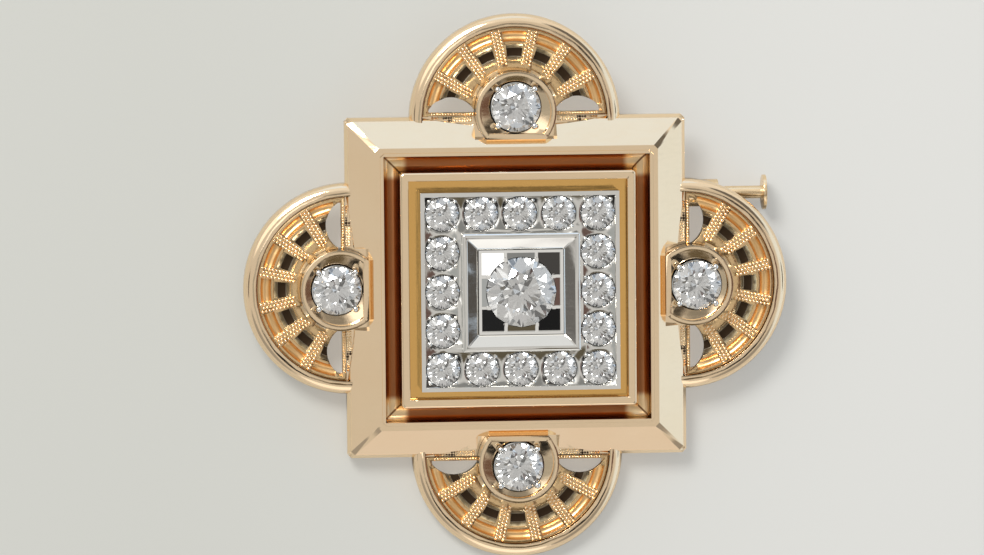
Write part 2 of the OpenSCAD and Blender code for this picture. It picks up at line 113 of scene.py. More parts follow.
def add_node(tree, kind, inputs=None, **settings):
    node = tree.nodes.new(kind)
    for name, value in settings.items():
        setattr(node, name, value)
    for name, value in (inputs or {}).items():
        if isinstance(value, bpy.types.NodeSocket):
            tree.links.new(value, node.inputs[name])
        else:
            node.inputs[name].default_value = value
    return node


def rgba(colour):
    return (*colour, 1.0)


def figure(tree, operation, *values):
    inputs = dict(enumerate(values))
    return add_node(tree, "ShaderNodeMath", inputs, operation=operation).outputs[0]


def rise(tree, value, start, end):
    step = add_node(tree, "ShaderNodeMapRange", {
        "Value": value, "From Min": start, "From Max": end}, interpolation_type="SMOOTHSTEP")
    return step.outputs["Result"]


def blend(tree, share, first, second):
    mix = add_node(tree, "ShaderNodeMix", data_type="RGBA")
    tree.links.new(share, mix.inputs["Factor"])
    for slot, colour in zip(MIX_COLOURS, (first, second)):
        if isinstance(colour, bpy.types.NodeSocket):
            tree.links.new(colour, mix.inputs[slot])
        else:
            mix.inputs[slot].default_value = rgba(colour)
    return mix.outputs[MIX_RESULT]


def mix_shaders(tree, share, first, second):
    return add_node(tree, "ShaderNodeMixShader", {0: share, 1: first, 2: second}).outputs[0]


# %% Helpers for patterns
def distance(tree, x, y):
    square = figure(tree, "ADD", figure(tree, "MULTIPLY", x, x), figure(tree, "MULTIPLY", y, y))
    return figure(tree, "SQRT", square)


def own_place(tree):
    return add_node(tree, "ShaderNodeTexCoord").outputs["Object"]


def parts_of(tree, place):
    axes = add_node(tree, "ShaderNodeSeparateXYZ", {"Vector": place}).outputs
    beside = [figure(tree, "ABSOLUTE", axes[axis]) for axis in ("X", "Y")]
    return {
        "across": axes["X"], "x": beside[0], "y": beside[1], "z": axes["Z"],
        "far": figure(tree, "MAXIMUM", *beside), "near": figure(tree, "MINIMUM", *beside)}


def noise(tree, place, scale, detail):
    return add_node(tree, "ShaderNodeTexNoise", {
        "Vector": place, "Scale": scale, "Detail": detail}).outputs["Fac"]


def bump(tree, height, depth, strength=1.0, **settings):
    return add_node(tree, "ShaderNodeBump", {
        "Height": height, "Strength": strength, "Distance": depth}, **settings)


def new_material(name):
    material = bpy.data.materials.new(name)
    material.use_nodes = True
    tree = material.node_tree
    return material, tree, tree.nodes["Principled BSDF"]


# %% [markdown]
# ## The floor
#
# The brooch lies face up. Three places touch the table: the catch's disc head, a cheek of
# the hinge, and the lower lobe's rim. The frame keeps the brooch level, so the table is the
# tilted one: a plane through those three points. A thick slab would do as well, but one face
# is all that is seen of it.

# %% Floor
FLOOR_HALF = 0.6
FLOOR_GAP = 0.03 * MM
FLOOR_CORNERS = ((-1, -1), (1, -1), (1, 1), (-1, 1))


def lowest(node):
    low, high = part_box(node)
    return Vector(((low.x + high.x) / 2, (low.y + high.y) / 2, low.z))


def touching_plane():
    head, hinge = lowest("plunger_head"), lowest("hinge_base")
    rim_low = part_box("south_rim")[0]
    rim = Vector((0, rim_low.y, rim_low.z))
    normal = (hinge - head).cross(rim - head).normalized()
    return rim, normal if normal.z > 0 else -normal


def make_floor():
    point, normal = touching_plane()
    side = normal.cross(Vector((0, 1, 0))).normalized()
    front = normal.cross(side)
    sink = point - normal * FLOOR_GAP
    corners = [sink + FLOOR_HALF * (a * side + b * front) for a, b in FLOOR_CORNERS]
    mesh = bpy.data.meshes.new("floor")
    mesh.from_pydata(corners, [], [(0, 1, 2, 3)])
    floor = bpy.data.objects.new("floor", mesh)
    bpy.context.scene.collection.objects.link(floor)
    return floor, normal


floor, floor_normal = make_floor()
print("floor normal", [round(v, 3) for v in floor_normal])

# %% [markdown]
# ## The floor's finish
#
# The table is plain pale paper, painted a little darker at the end that lies farther from the
# window: painted shade for the light that falls off there. Stronger lamps would make it paler,
# but would burn out the gold. So the paper glows a little for the camera only, and keeps its
# shadows. Round the brooch that glow is warmer: a painted pool of the light that gold throws
# down on the paper. From below the paper is clear, so that the brooch's back can be looked at.

# %% Floor finish
# The paper's tone at its two ends; the darker end is painted shade.
PAPER_WITH_PAINTED_SHADE = ((0.490, 0.490, 0.456), (0.600, 0.596, 0.570))
PAINTED_SHADE_ENDS = (-30 * MM, 34 * MM)
PAPER_ROUGH = 0.7
PAPER_GLOSS = 0.2
# The camera-only glow, with the same painted shade at one end.
GLOW_WITH_PAINTED_SHADE = ((0.634, 0.634, 0.588), (0.736, 0.733, 0.704))
GLOW_SHARE = 0.4
# Painted light: a warm pool on the paper round the brooch, for light that gold throws down.
BOUNCE = (0.78, 0.68, 0.57)
BOUNCE_FADE = (22 * MM, 9 * MM)
BOUNCE_SHARE = 0.21


def paper_white():
    material, tree, paper = new_material("studio_table")
    parts = parts_of(tree, own_place(tree))
    # Painted shade: darker towards one end of the table.
    across = rise(tree, parts["across"], *PAINTED_SHADE_ENDS)
    # Where the painted pool of bounce light lies, fading out from the brooch.
    painted_bounce_pool = rise(tree, distance(tree, parts["x"], parts["y"]), *BOUNCE_FADE)
    tree.links.new(blend(tree, across, *PAPER_WITH_PAINTED_SHADE), paper.inputs["Base Color"])
    paper.inputs["Roughness"].default_value = PAPER_ROUGH
    paper.inputs["Specular IOR Level"].default_value = PAPER_GLOSS
    colour = blend(tree, painted_bounce_pool, blend(tree, across, *GLOW_WITH_PAINTED_SHADE), BOUNCE)
    glow = add_node(tree, "ShaderNodeEmission", {"Color": colour})
    seen = add_node(tree, "ShaderNodeLightPath").outputs["Is Camera Ray"]
    share = figure(tree, "MULTIPLY_ADD", painted_bounce_pool, BOUNCE_SHARE, GLOW_SHARE)
    above = mix_shaders(tree, figure(tree, "MULTIPLY", seen, share),
        paper.outputs[0], glow.outputs[0])
    below = add_node(tree, "ShaderNodeNewGeometry").outputs["Backfacing"]
    clear = add_node(tree, "ShaderNodeBsdfTransparent").outputs[0]
    surface = tree.nodes["Material Output"].inputs["Surface"]
    tree.links.new(mix_shaders(tree, below, above, clear), surface)
    return material


floor.data.materials.append(paper_white())
print("floor finish", floor.data.materials[0].name)

# %% [markdown]
# ## The light
#
# Polished gold has no colour of its own to speak of: it shows the room, tinted. Jewellers
# shoot it in a tent of white cloth, with brighter and cooler cloth on some sides, and with
# black flags beside the lens that draw dark lines on the metal and in the stones. The world
# below is that tent. A picture of a studio could light the brooch too, but here every card
# is one line that gives its direction, its size and its colour. The camera itself sees a
# plain backdrop in place of the tent.

# %% Cards and flags
TENT = (0.66, 0.645, 0.62)
BACKDROP = (0.70, 0.70, 0.67)
# direction, half angle of the card in degrees, softness in degrees, colour
CARDS = (
    ((0.1, 0.96, 0.22), 36, 20, (0.86, 0.87, 0.87)),
    ((0.0, 0.975, 0.22), 12, 6, (0.86, 1.02, 1.24)),
    ((0.98, 0.05, 0.16), 28, 22, (0.83, 0.97, 1.13)),
    ((0.0, -0.985, 0.17), 14, 10, (0.77, 0.74, 0.73)),
    ((0.92, -0.04, 0.42), 5, 3, (0.10, 0.09, 0.08)),
    ((-0.80, -0.04, 0.62), 5, 3, (0.16, 0.15, 0.14)),
    ((0.0, -0.78, 0.62), 13, 8, (1.20, 1.18, 1.15)),
    ((-0.55, 0.52, 0.55), 16, 9, (1.3, 1.28, 1.24)),
)
# direction and grey level of each black flag
FLAGS = (
    ((0.55, 0.50, 0.65), 0.16),
    ((-0.55, -0.50, 0.65), 0.36),
    ((0.50, -0.55, 0.60), 0.32),
)
FLAG_SIZE = (13, 6)
CARDS += tuple((towards, *FLAG_SIZE, (level, level, level)) for towards, level in FLAGS)
print("cards", len(CARDS), "of them flags", len(FLAGS))

# %% [markdown]
# ## Small cards overhead
#
# Eight mirror plates lie round the middle stone, and a mirror shows one spot of the tent. A
# plate that tilts to the upper left shows the spot up and to the left, and so on. So each
# plate gets a small card of its own overhead, in a square of three by three whose middle
# belongs to the stone. Colouring the plates themselves would be simpler, but then they
# would keep their greys when the brooch is turned, which no mirror does.

# %% Overhead cards
OVERHEAD = Vector((-LEAN.x / LEAN.z, -LEAN.y / LEAN.z, 1.0))
PLATE_TURN = 0.21
PLATE_SIZE = (4, 2.5)
PLATE_CARDS = (
    (-1, 1, (1.50, 1.50, 1.48)), (0, 1, (0.26, 0.26, 0.25)), (1, 1, (0.07, 0.065, 0.06)),
    (-1, 0, (0.42, 0.43, 0.42)), (1, 0, (0.15, 0.095, 0.08)),
    (-1, -1, (0.02, 0.02, 0.02)), (0, -1, (0.12, 0.10, 0.065)), (1, -1, (0.015, 0.015, 0.015)),
)
for x, y, colour in PLATE_CARDS:
    CARDS += ((OVERHEAD + Vector((x, y, 0)) * PLATE_TURN, *PLATE_SIZE, colour),)
print("cards with those overhead", len(CARDS))

# %% [markdown]
# ## The tent itself
#
# The tent is the world's background. Each card is laid over what came before it: the closer
# a direction lies to the middle of the card, the more of the card's colour it takes. Planes
# with a glow could hang in the scene instead, but they would show in other views.

# %% World
def lay_card(tree, direction, colour, card):
    towards, half, soft, tone = card
    facing = add_node(tree, "ShaderNodeVectorMath", operation="DOT_PRODUCT")
    tree.links.new(direction, facing.inputs[0])
    facing.inputs[1].default_value = Vector(towards).normalized()
    edge = [math.cos(math.radians(angle)) for angle in (half + soft, half)]
    return blend(tree, rise(tree, facing.outputs["Value"], *edge), colour, tone)


def make_world():
    world = bpy.data.worlds.new("light_tent")
    bpy.context.scene.world = world
    world.use_nodes = True
    tree = world.node_tree
    tree.nodes.clear()
    direction = add_node(tree, "ShaderNodeTexCoord").outputs["Generated"]
    colour = add_node(tree, "ShaderNodeRGB").outputs[0]
    colour.default_value = rgba(TENT)
    for card in CARDS:
        colour = lay_card(tree, direction, colour, card)
    tent, backdrop = (
        add_node(tree, "ShaderNodeBackground", {"Color": tone, "Strength": 1.0}).outputs[0]
        for tone in (colour, rgba(BACKDROP)))
    seen = add_node(tree, "ShaderNodeLightPath").outputs["Is Camera Ray"]
    output = add_node(tree, "ShaderNodeOutputWorld")
    tree.links.new(mix_shaders(tree, seen, tent, backdrop), output.inputs["Surface"])
    return tree


print("world nodes", len(make_world().nodes))

# %% [markdown]
# ## The key lamp
#
# A tent alone leaves almost no shadow, so the brooch would seem to float. One softbox above
# it and to the left gives the shadow on the table. A sun lamp would give a hard edge: a disc
# as wide as a plate, half a metre away, gives the soft edge of a window.

# %% Lamp
KEY_PLACE = (-0.20, 0.34, 0.40)
KEY_SIZE = 0.22
KEY_POWER = 2.6
KEY_COLOUR = (1.0, 0.99, 0.97)


def make_softbox(name):
    light = bpy.data.lights.new(name, "AREA")
    light.shape = "DISK"
    light.size = KEY_SIZE
    light.energy = KEY_POWER
    light.color = KEY_COLOUR
    lamp = bpy.data.objects.new(name, light)
    bpy.context.scene.collection.objects.link(lamp)
    lamp.location = KEY_PLACE
    lamp.rotation_euler = (AIM - lamp.location).to_track_quat("-Z", "Y").to_euler()


make_softbox("key_softbox")

# %% [markdown]
# ## Metal
#
# Gold is a metal with a warm tint. What makes it look worn rather than plated is in the
# roughness and the bump: faint wipe marks, and a skin that isn't quite even. Every metal on
# the brooch follows one recipe with its own tones, roughness and depth of marks. A finish
# can add to it in three ways: detail changes the colour from place to place, matt raises the
# roughness, and relief turns the surface.

# %% Metal finish
CLOUD_SCALE, CLOUD_DETAIL = 0.25 / MM, 3.0
WIPE_SCALE, WIPE_DETAIL = 1.2 / MM, 4.0
WIPE_STRETCH = (1.0, 4.0, 1.0)
WIPE_RANGE = (0.3, 0.7)
SKIN_DETAIL = 2.0
SWELL_SCALE, SWELL_DETAIL = 0.4 / MM, 0.0


def wiped_roughness(tree, place, roughness):
    smear = add_node(tree, "ShaderNodeMapping", {"Vector": place, "Scale": WIPE_STRETCH})
    wipe = noise(tree, smear.outputs["Vector"], WIPE_SCALE, WIPE_DETAIL)
    return add_node(tree, "ShaderNodeMapRange", {
        "Value": wipe, "From Min": WIPE_RANGE[0], "From Max": WIPE_RANGE[1],
        "To Min": roughness[0], "To Max": roughness[1]}).outputs["Result"]


def metal(name, tones, roughness, mark_depth, grain=0.35 * MM, sway=0.0,
          detail=None, relief=None, matt=None):
    material, tree, shader = new_material(name)
    shader.inputs["Metallic"].default_value = 1.0
    place = own_place(tree)
    parts = parts_of(tree, place)
    colour = blend(tree, noise(tree, place, CLOUD_SCALE, CLOUD_DETAIL), *tones)
    # Every detail used below paints light or shade into the colour: painted shade, painted
    # reflections or a painted highlight.
    if detail:
        colour = detail(tree, colour, parts)
    tree.links.new(colour, shader.inputs["Base Color"])
    rough = wiped_roughness(tree, place, roughness)
    if matt:
        rough = figure(tree, "MAXIMUM", rough, matt(tree, parts))
    tree.links.new(rough, shader.inputs["Roughness"])
    skin = bump(tree, noise(tree, place, 1 / grain, SKIN_DETAIL), mark_depth)
    if sway:
        swell = bump(tree, noise(tree, place, SWELL_SCALE, SWELL_DETAIL), sway)
        tree.links.new(swell.outputs["Normal"], skin.inputs["Normal"])
    if relief:
        tree.links.new(relief(tree, parts), skin.inputs["Normal"])
    tree.links.new(skin.outputs["Normal"], shader.inputs["Normal"])
    return material


# %% [markdown]
# ## Plain golds
#
# The frame, the rims and the bezels are polished yellow gold. The pin, the hinge and the
# catch are the same metal, but rubbed dull by cloth and fingers. The settings are white gold,
# and a broad, shallow swell in it breaks up the reflections round the border stones, where
# the real plaque was cut and pushed by hand. Separate finishes could be mixed from scratch;
# one recipe with other numbers keeps them a family.

# %% Plain golds
POLISHED = ((0.93, 0.70, 0.45), (0.96, 0.76, 0.52))
POLISHED_ROUGH = (0.05, 0.13)
POLISHED_MARKS = 0.002 * MM
YELLOW = metal("yellow_gold", POLISHED, POLISHED_ROUGH, POLISHED_MARKS)
HARDWARE = metal("pin_gold", ((0.88, 0.66, 0.40), (0.93, 0.72, 0.46)), (0.16, 0.28), 0.004 * MM)
WHITE = metal("white_gold", ((0.78, 0.765, 0.72), (0.85, 0.835, 0.80)), (0.04, 0.10),
    0.0015 * MM, sway=0.12 * MM)
print("plain golds", YELLOW.name, HARDWARE.name, WHITE.name)

# %% [markdown]
# ## Recessed golds
#
# The trough between the two squares is narrow, so its walls show each other again and again,
# and every reflection takes up more of the gold's own colour: it looks brown. The gutter
# round the plaque is shallower and looks deep yellow. More light bounces would bring some of
# that, slowly and with noise. Instead that deeper tone is painted shade, laid on by height in
# the gutter and all over the trough, and it is steady in every view. In the trough's corners
# a fine dark line shows the mitre between two pale ends, which are painted reflections.

# %% Recessed golds
# Painted shade: the brown trough and the deep yellow gutter stand in for light bounced between
# close walls.
TROUGH_SHADE_TONES = ((0.30, 0.115, 0.042), (0.42, 0.18, 0.075))
GUTTER_SHADE_TONE = (0.80, 0.47, 0.15)
# Painted reflection in the trough's corners; the mitre tone below is the dark joint itself.
CORNER_REFLECTION_TONE = (0.86, 0.66, 0.40)
MITRE_TONE = (0.20, 0.10, 0.045)
gutter_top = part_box("inner_frame")[1].z - 0.12 * MM
GUTTER_FADE = 0.1 * MM
trough_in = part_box("inner_frame")[1].x
CORNER = (trough_in - 0.75 * MM, trough_in - 0.25 * MM)
MITRE = (0.14 * MM, 0.04 * MM)


# Painted shade in the gutter, laid on by height.
def painted_gutter_shade(tree, colour, parts):
    height = rise(tree, parts["z"], gutter_top - GUTTER_FADE, gutter_top)
    return blend(tree, height, GUTTER_SHADE_TONE, colour)


# Painted reflections: pale ends in the trough's corners, split by the dark mitre line.
def painted_corner_reflections(tree, colour, parts):
    pale = blend(tree, rise(tree, parts["near"], *CORNER), colour, CORNER_REFLECTION_TONE)
    off_mitre = figure(tree, "SUBTRACT", parts["far"], parts["near"])
    return blend(tree, rise(tree, off_mitre, *MITRE), pale, MITRE_TONE)


EDGED = metal("stepped_gold_painted_shade", POLISHED, POLISHED_ROUGH, POLISHED_MARKS, detail=painted_gutter_shade)
TROUGH = metal("trough_gold_painted_shade", TROUGH_SHADE_TONES, (0.30, 0.42), 0.004 * MM, detail=painted_corner_reflections)
print("gutter top", round(gutter_top / MM, 2), "trough from", round(trough_in / MM, 2))

# %% [markdown]
# ## Fan gold
#
# A fan is cast and then dressed: grained ribs, a smooth groove by the rim, and sunk cells.
# Its colour also holds painted light: painted shade on the plate between the grains and in
# the groove, a painted highlight on the cells' walls, and painted shade on their floors,
# because nothing lights the bottom of a small hole. A painted texture could hold all that,
# but it would be drawn for one size. Here each place is found from its height and from its
# distance to the lobe's centre. All four lobes share the finish: the larger of |x| and |y|
# leads out of the brooch, and the smaller one along it.

# %% Fan measures
rim_high, fan_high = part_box("east_rim")[1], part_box("east_fan")[1]
lobe_r = rim_high.y
lobe_x = rim_high.x - lobe_r
fan_r = fan_high.x - lobe_x
fan_top = fan_high.z
FLOOR_BAND = (fan_r - 2.12 * MM, fan_r - 1.47 * MM)
GROOVE_FROM = fan_r - 1.1 * MM
SOFT = 0.05 * MM
RIB_FOOT = (fan_top + 0.07 * MM, fan_top + 0.01 * MM)
GROOVE_SINK = (fan_top - 0.05 * MM, fan_top - 0.16 * MM)
CELL_SINK = (fan_top - 0.04 * MM, fan_top - 0.12 * MM)
print("lobe radius", round(lobe_r / MM, 2), "centre", round(lobe_x / MM, 2),
    "fan", round(fan_r / MM, 2))

# %% Fan gold
FAN_TONES = ((0.90, 0.65, 0.39), (0.97, 0.78, 0.53))
# Painted shade on the plate between the grains.
BETWEEN_GRAINS_SHADE = (0.82, 0.57, 0.30)
# Painted shade in the groove by the rim.
GROOVE_SHADE_TONE = (0.90, 0.58, 0.27)
# Painted highlight on the cells' walls.
CELL_WALL_HIGHLIGHT = (1.0, 0.90, 0.70)
# Painted shade on the cells' floors.
CELL_FLOOR_SHADE = (0.060, 0.038, 0.022)
CELL_ROUGH = 0.32
FAN_GRAIN = 0.2 * MM


# Painted light on the fans: shade between grains, in the groove and on the cells' floors, and a
# highlight on the cells' walls.
def fan_painted_shade_and_highlight(tree, colour, parts):
    out = distance(tree, figure(tree, "SUBTRACT", parts["far"], lobe_x), parts["near"])
    colour = blend(tree, rise(tree, parts["z"], *RIB_FOOT), colour, BETWEEN_GRAINS_SHADE)
    groove = figure(tree, "MULTIPLY", rise(tree, parts["z"], *GROOVE_SINK),
        rise(tree, out, GROOVE_FROM, GROOVE_FROM + SOFT))
    colour = blend(tree, groove, colour, GROOVE_SHADE_TONE)
    inner, outer = FLOOR_BAND
    band = figure(tree, "MULTIPLY", rise(tree, out, inner - SOFT, inner + SOFT),
        rise(tree, out, outer + SOFT, outer - SOFT))
    # Painted highlight on the cell walls over painted shade on the floors.
    painted_cell_light = blend(tree, band, CELL_WALL_HIGHLIGHT, CELL_FLOOR_SHADE)
    sunk = figure(tree, "MULTIPLY", rise(tree, parts["z"], *CELL_SINK),
        rise(tree, out, GROOVE_FROM, GROOVE_FROM - SOFT))
    return blend(tree, sunk, colour, painted_cell_light)


def matt_cells(tree, parts):
    return figure(tree, "MULTIPLY", rise(tree, parts["z"], *CELL_SINK), CELL_ROUGH)


GRAINED = metal("granulated_gold", FAN_TONES, (0.08, 0.18), 0.006 * MM, FAN_GRAIN,
    detail=fan_painted_shade_and_highlight, matt=matt_cells)
print("fan gold", GRAINED.name)

# %% [markdown]
# ## Head gold
#
# The plate that holds the middle stone is parted by raised lines into nine fields, and each
# is polished as flat as a mirror and tilted a hair from its neighbours, so one looks white
# and the next one black. Tilted faces could be modelled, but a bump of even slope does the
# same and leaves the plate's edges alone: its height grows outwards from the lines, so each
# field turns away from the middle. The lines keep their own shape, and their brighter tone is
# a painted highlight.

# %% Head gold
HEAD_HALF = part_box("centre_head")[1].x
LINE_PLACE = HEAD_HALF / 3 + 0.1 * MM
BORDER_PLACE = HEAD_HALF - 0.1 * MM
LINE_HALF = 0.12 * MM
# Painted highlight on the raised lines.
LINE_HIGHLIGHT_TONE = (0.98, 0.97, 0.94)
PLATE_TONES = ((0.82, 0.81, 0.79), (0.88, 0.87, 0.85))
PLATE_SLOPE = 0.10


def on_lines(tree, parts):
    lines = [figure(tree, "COMPARE", parts[axis], LINE_PLACE, LINE_HALF) for axis in ("x", "y")]
    border = figure(tree, "COMPARE", parts["far"], BORDER_PLACE, LINE_HALF)
    return figure(tree, "MAXIMUM", figure(tree, "MAXIMUM", *lines), border)


# Painted highlight: the lines are coloured brighter than the fields.
def painted_line_highlight(tree, colour, parts):
    return blend(tree, on_lines(tree, parts), colour, LINE_HIGHLIGHT_TONE)


def turned_plates(tree, parts):
    steps = [figure(tree, "MAXIMUM", parts[axis], LINE_PLACE) for axis in ("x", "y")]
    plates = figure(tree, "SUBTRACT", 1.0, on_lines(tree, parts))
    slope = bump(tree, figure(tree, "ADD", *steps), PLATE_SLOPE, plates, invert=True)
    return slope.outputs["Normal"]


PLATES = metal("mirror_plates", PLATE_TONES, (0.02, 0.05), 0.0004 * MM,
    detail=painted_line_highlight, relief=turned_plates)
print("head plate", round(2 * HEAD_HALF / MM, 2), "mm, lines at", round(LINE_PLACE / MM, 2))

# %% [markdown]
# ## Diamond
#
# A brilliant's sparkle comes from its facets, which the frame already has, and from how
# strongly diamond bends light. A clear shader with diamond's own index gives both. A glossy
# white plastic would look bright too, but dead. Old stones differ a little in tint, so a wide
# cloud makes some of them greyer.

# %% Diamond
STONE_TINTS = ((0.72, 0.72, 0.70), (0.90, 0.90, 0.90))
STONE_CLOUD, STONE_DETAIL = 0.5 / MM, 1.0
DIAMOND_INDEX = 2.42


def diamond():
    material, tree, shader = new_material("diamond")
    cloud = noise(tree, own_place(tree), STONE_CLOUD, STONE_DETAIL)
    tree.links.new(blend(tree, cloud, *STONE_TINTS), shader.inputs["Base Color"])
    shader.inputs["Roughness"].default_value = 0.0
    shader.inputs["IOR"].default_value = DIAMOND_INDEX
    shader.inputs["Transmission Weight"].default_value = 1.0
    return material


DIAMOND = diamond()
print("stone finish", DIAMOND.name)

# %% [markdown]
# ## Dress the frame's own pieces
#
# The record gives every piece one of five material slots, so a piece's finish is looked up
# from its slot. Choosing a finish for each of fifty pieces by hand would work as well, until
# a piece is added. Three pieces look unlike others of their metal, because of where they lie
# or how they are polished, and get a finish of their own, with painted shade, painted
# reflections or a painted highlight in its colour.

# %% Dress the frame's own pieces
FINISH = {
    "yellow_gold": YELLOW,
    "granulated_gold": GRAINED,
    "white_gold": WHITE,
    "diamond": DIAMOND,
    "pin_gold": HARDWARE,
}
SPECIAL = {"gallery_plate": TROUGH, "inner_frame": EDGED, "centre_head": PLATES}
record = frame["record"]
SLOT = {part["node"]: part["material_slot"] for part in record["subparts"]}
BODY = {node: body for body, nodes in record["behaviour"]["bodies"].items() for node in nodes}


def finish_of(node):
    return SPECIAL.get(node, FINISH[SLOT[node]])


for node in SLOT:
    obj = frame["nodes"][node]
    obj.data.materials.clear()
    obj.data.materials.append(finish_of(node))
print("dressed", len(SLOT), "pieces in", len(FINISH) + len(SPECIAL), "finishes")

# %% [markdown]
# ## Softened edges
#
# No edge on polished metal is sharp: the buff rounds it, and the round catches a bright or
# a dark line that tells the eye where the metal turns. A rounded edge could be faked in the
# shader, but then it is missing from the mesh. So a Bevel modifier rounds a copy of each
# metal piece. A frame piece is loose triangles: they are merged, and flat faces joined, so
# that the bevel finds only real edges, and then cut into triangles again, because a face
# with many corners can shade badly. The head's mirror plates are left as they are.
#
# Weighted normals keep the flats flat. The outer frame's slopes are long mirrors, which show
# the least bend, so there the normals of every large plane are set outright. The catch's
# head is the part that fingers wear, so its rim is worn by a fiftieth of a millimetre, which
# also keeps it clear of the lobe's rim as it slides in.

# %% Soft edge values
EDGE = {
    "outer_frame": 0.09, "inner_frame": 0.06, "plaque": 0.05, "centre_frame": 0.05,
    "gallery_plate": 0.02, "rim": 0.06, "fan": 0.03, "bezel": 0.08, "collet": 0.03,
    "hinge_base": 0.08, "hinge_rivet": 0.04, "catch_saddle": 0.04, "catch_barrel": 0.1,
    "plunger_head": 0.06,
}
EDGE_STEPS = 3
MERGE = 0.0005 * MM
FLAT_ANGLE = math.radians(1.0)
FACET_ANGLE = math.radians(2.0)
EDGE_ANGLE = math.radians(28)
FACETED = ("outer_frame",)
PLANE_AREA = 2.0 * MM ** 2
PLANE_KEY = 200
WORN = {"plunger_head": 0.02 * MM}
WORN_FROM = 0.9
print("edges to soften", len(EDGE))


# %% Copies of the frame's pieces
def to_plain_mesh(obj):
    graph = bpy.context.evaluated_depsgraph_get()
    mesh = bpy.data.meshes.new_from_object(obj.evaluated_get(graph), depsgraph=graph)
    obj.modifiers.clear()
    obj.data = mesh


def merged_copy(node, name):
    mesh = bpy.data.meshes.new(name)
    shape = bmesh.new()
    shape.from_mesh(frame["nodes"][node].data)
    bmesh.ops.remove_doubles(shape, verts=shape.verts, dist=MERGE)
    bmesh.ops.dissolve_limit(shape, angle_limit=FLAT_ANGLE, verts=shape.verts, edges=shape.edges)
    bmesh.ops.triangulate(shape, faces=shape.faces, quad_method="BEAUTY", ngon_method="BEAUTY")
    if node in FACETED:
        for edge in shape.edges:
            edge.smooth = not FACET_ANGLE < edge.calc_face_angle(0.0) < EDGE_ANGLE
    shape.to_mesh(mesh)
    shape.free()
    obj = bpy.data.objects.new(name, mesh)
    bpy.context.scene.collection.objects.link(obj)
    return obj


# %% Flat planes and wear
def plane_key(face):
    return tuple(round(PLANE_KEY * value) for value in face.normal)


def keep_planes_flat(mesh, least_area):
    area = {}
    for face in mesh.polygons:
        area[plane_key(face)] = area.get(plane_key(face), 0.0) + face.area
    normals = [Vector(corner.vector) for corner in mesh.corner_normals]
    for face in mesh.polygons:
        if area[plane_key(face)] > least_area:
            for corner in face.loop_indices:
                normals[corner] = face.normal.copy()
    mesh.normals_split_custom_set(normals)


def wear(obj, node, depth):
    low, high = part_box(node)
    middle = (low + high) / 2
    for vertex in obj.data.vertices:
        out = vertex.co - middle
        out.x = 0.0
        if out.length > WORN_FROM * (high.z - middle.z):
            vertex.co -= depth * out.normalized()


# %% Soften
def soften(node, width):
    obj = merged_copy(node, node + "_buffed")
    if node in WORN:
        wear(obj, node, WORN[node])
    bevel = obj.modifiers.new("buffed_edge", "BEVEL")
    bevel.width = width * MM
    bevel.segments = EDGE_STEPS
    bevel.limit_method = "ANGLE"
    bevel.angle_limit = EDGE_ANGLE
    bevel.miter_outer = "MITER_ARC"
    bevel.face_strength_mode = "FSTR_ALL"
    flats = obj.modifiers.new("flat_faces", "WEIGHTED_NORMAL")
    flats.use_face_influence = True
    flats.keep_sharp = True
    for face in obj.data.polygons:
        face.use_smooth = True
    obj.data.materials.append(finish_of(node))
    to_plain_mesh(obj)
    if node in FACETED:
        keep_planes_flat(obj.data, PLANE_AREA)
    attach(obj, BODY[node])
    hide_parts(node)
    return obj


buffed = {}
for node in SLOT:
    kind = node.split("_")[1] if node.split("_")[0] in SIDES else node
    if kind in EDGE:
        buffed[node] = soften(node, EDGE[kind])
print("buffed", len(buffed), "faces", sum(len(o.data.polygons) for o in buffed.values()))

# %% [markdown]
# ## Trees for what repeats
#
# A grain of gold is a tiny ball, and the brooch has hundreds. They could be copied one by one
# in a loop, but each group of grains is one Geometry Nodes tree instead, so its sizes can be
# changed in one place. Points are laid out from a few named sizes, a ball goes on each point,
# and the result is made real and turned into a plain mesh.

# %% Tree helpers
def new_tree(name, sizes):
    tree = bpy.data.node_groups.new(name, "GeometryNodeTree")
    tree.interface.new_socket("Geometry", in_out="OUTPUT", socket_type="NodeSocketGeometry")
    for label, value in sizes.items():
        kind = "NodeSocketInt" if isinstance(value, int) else "NodeSocketFloat"
        tree.interface.new_socket(label, in_out="INPUT", socket_type=kind)
    return tree, tree.nodes.new("NodeGroupInput").outputs


def point(tree, x=0.0, y=0.0, z=0.0):
    return add_node(tree, "ShaderNodeCombineXYZ", {"X": x, "Y": y, "Z": z}).outputs[0]


def here(tree):
    place = add_node(tree, "GeometryNodeInputPosition").outputs[0]
    return add_node(tree, "ShaderNodeSeparateXYZ", {"Vector": place}).outputs


def length_of(tree, start, end):
    return figure(tree, "SUBTRACT", end, start)


def steps_in(tree, length, pitch):
    return figure(tree, "FLOOR", figure(tree, "DIVIDE", length, pitch))


def span_of(tree, rows, pitch):
    return figure(tree, "MULTIPLY", figure(tree, "SUBTRACT", rows, 1.0), pitch)


def away_from(tree, x):
    place = here(tree)
    away = add_node(tree, "ShaderNodeVectorMath", operation="LENGTH")
    offset = point(tree, figure(tree, "SUBTRACT", place["X"], x), place["Y"])
    tree.links.new(offset, away.inputs[0])
    return away.outputs["Value"]


# %% Helpers that move, copy and drop points
QUARTER = math.radians(90)


def grid_of(tree, size_x, size_y, count_x, count_y):
    return add_node(tree, "GeometryNodeMeshGrid", {
        "Size X": size_x, "Size Y": size_y,
        "Vertices X": count_x, "Vertices Y": count_y}).outputs["Mesh"]


def moved(tree, geometry, offset):
    return add_node(tree, "GeometryNodeSetPosition", {
        "Geometry": geometry, "Offset": offset}).outputs[0]


def real(tree, copies):
    return add_node(tree, "GeometryNodeRealizeInstances", {"Geometry": copies}).outputs[0]


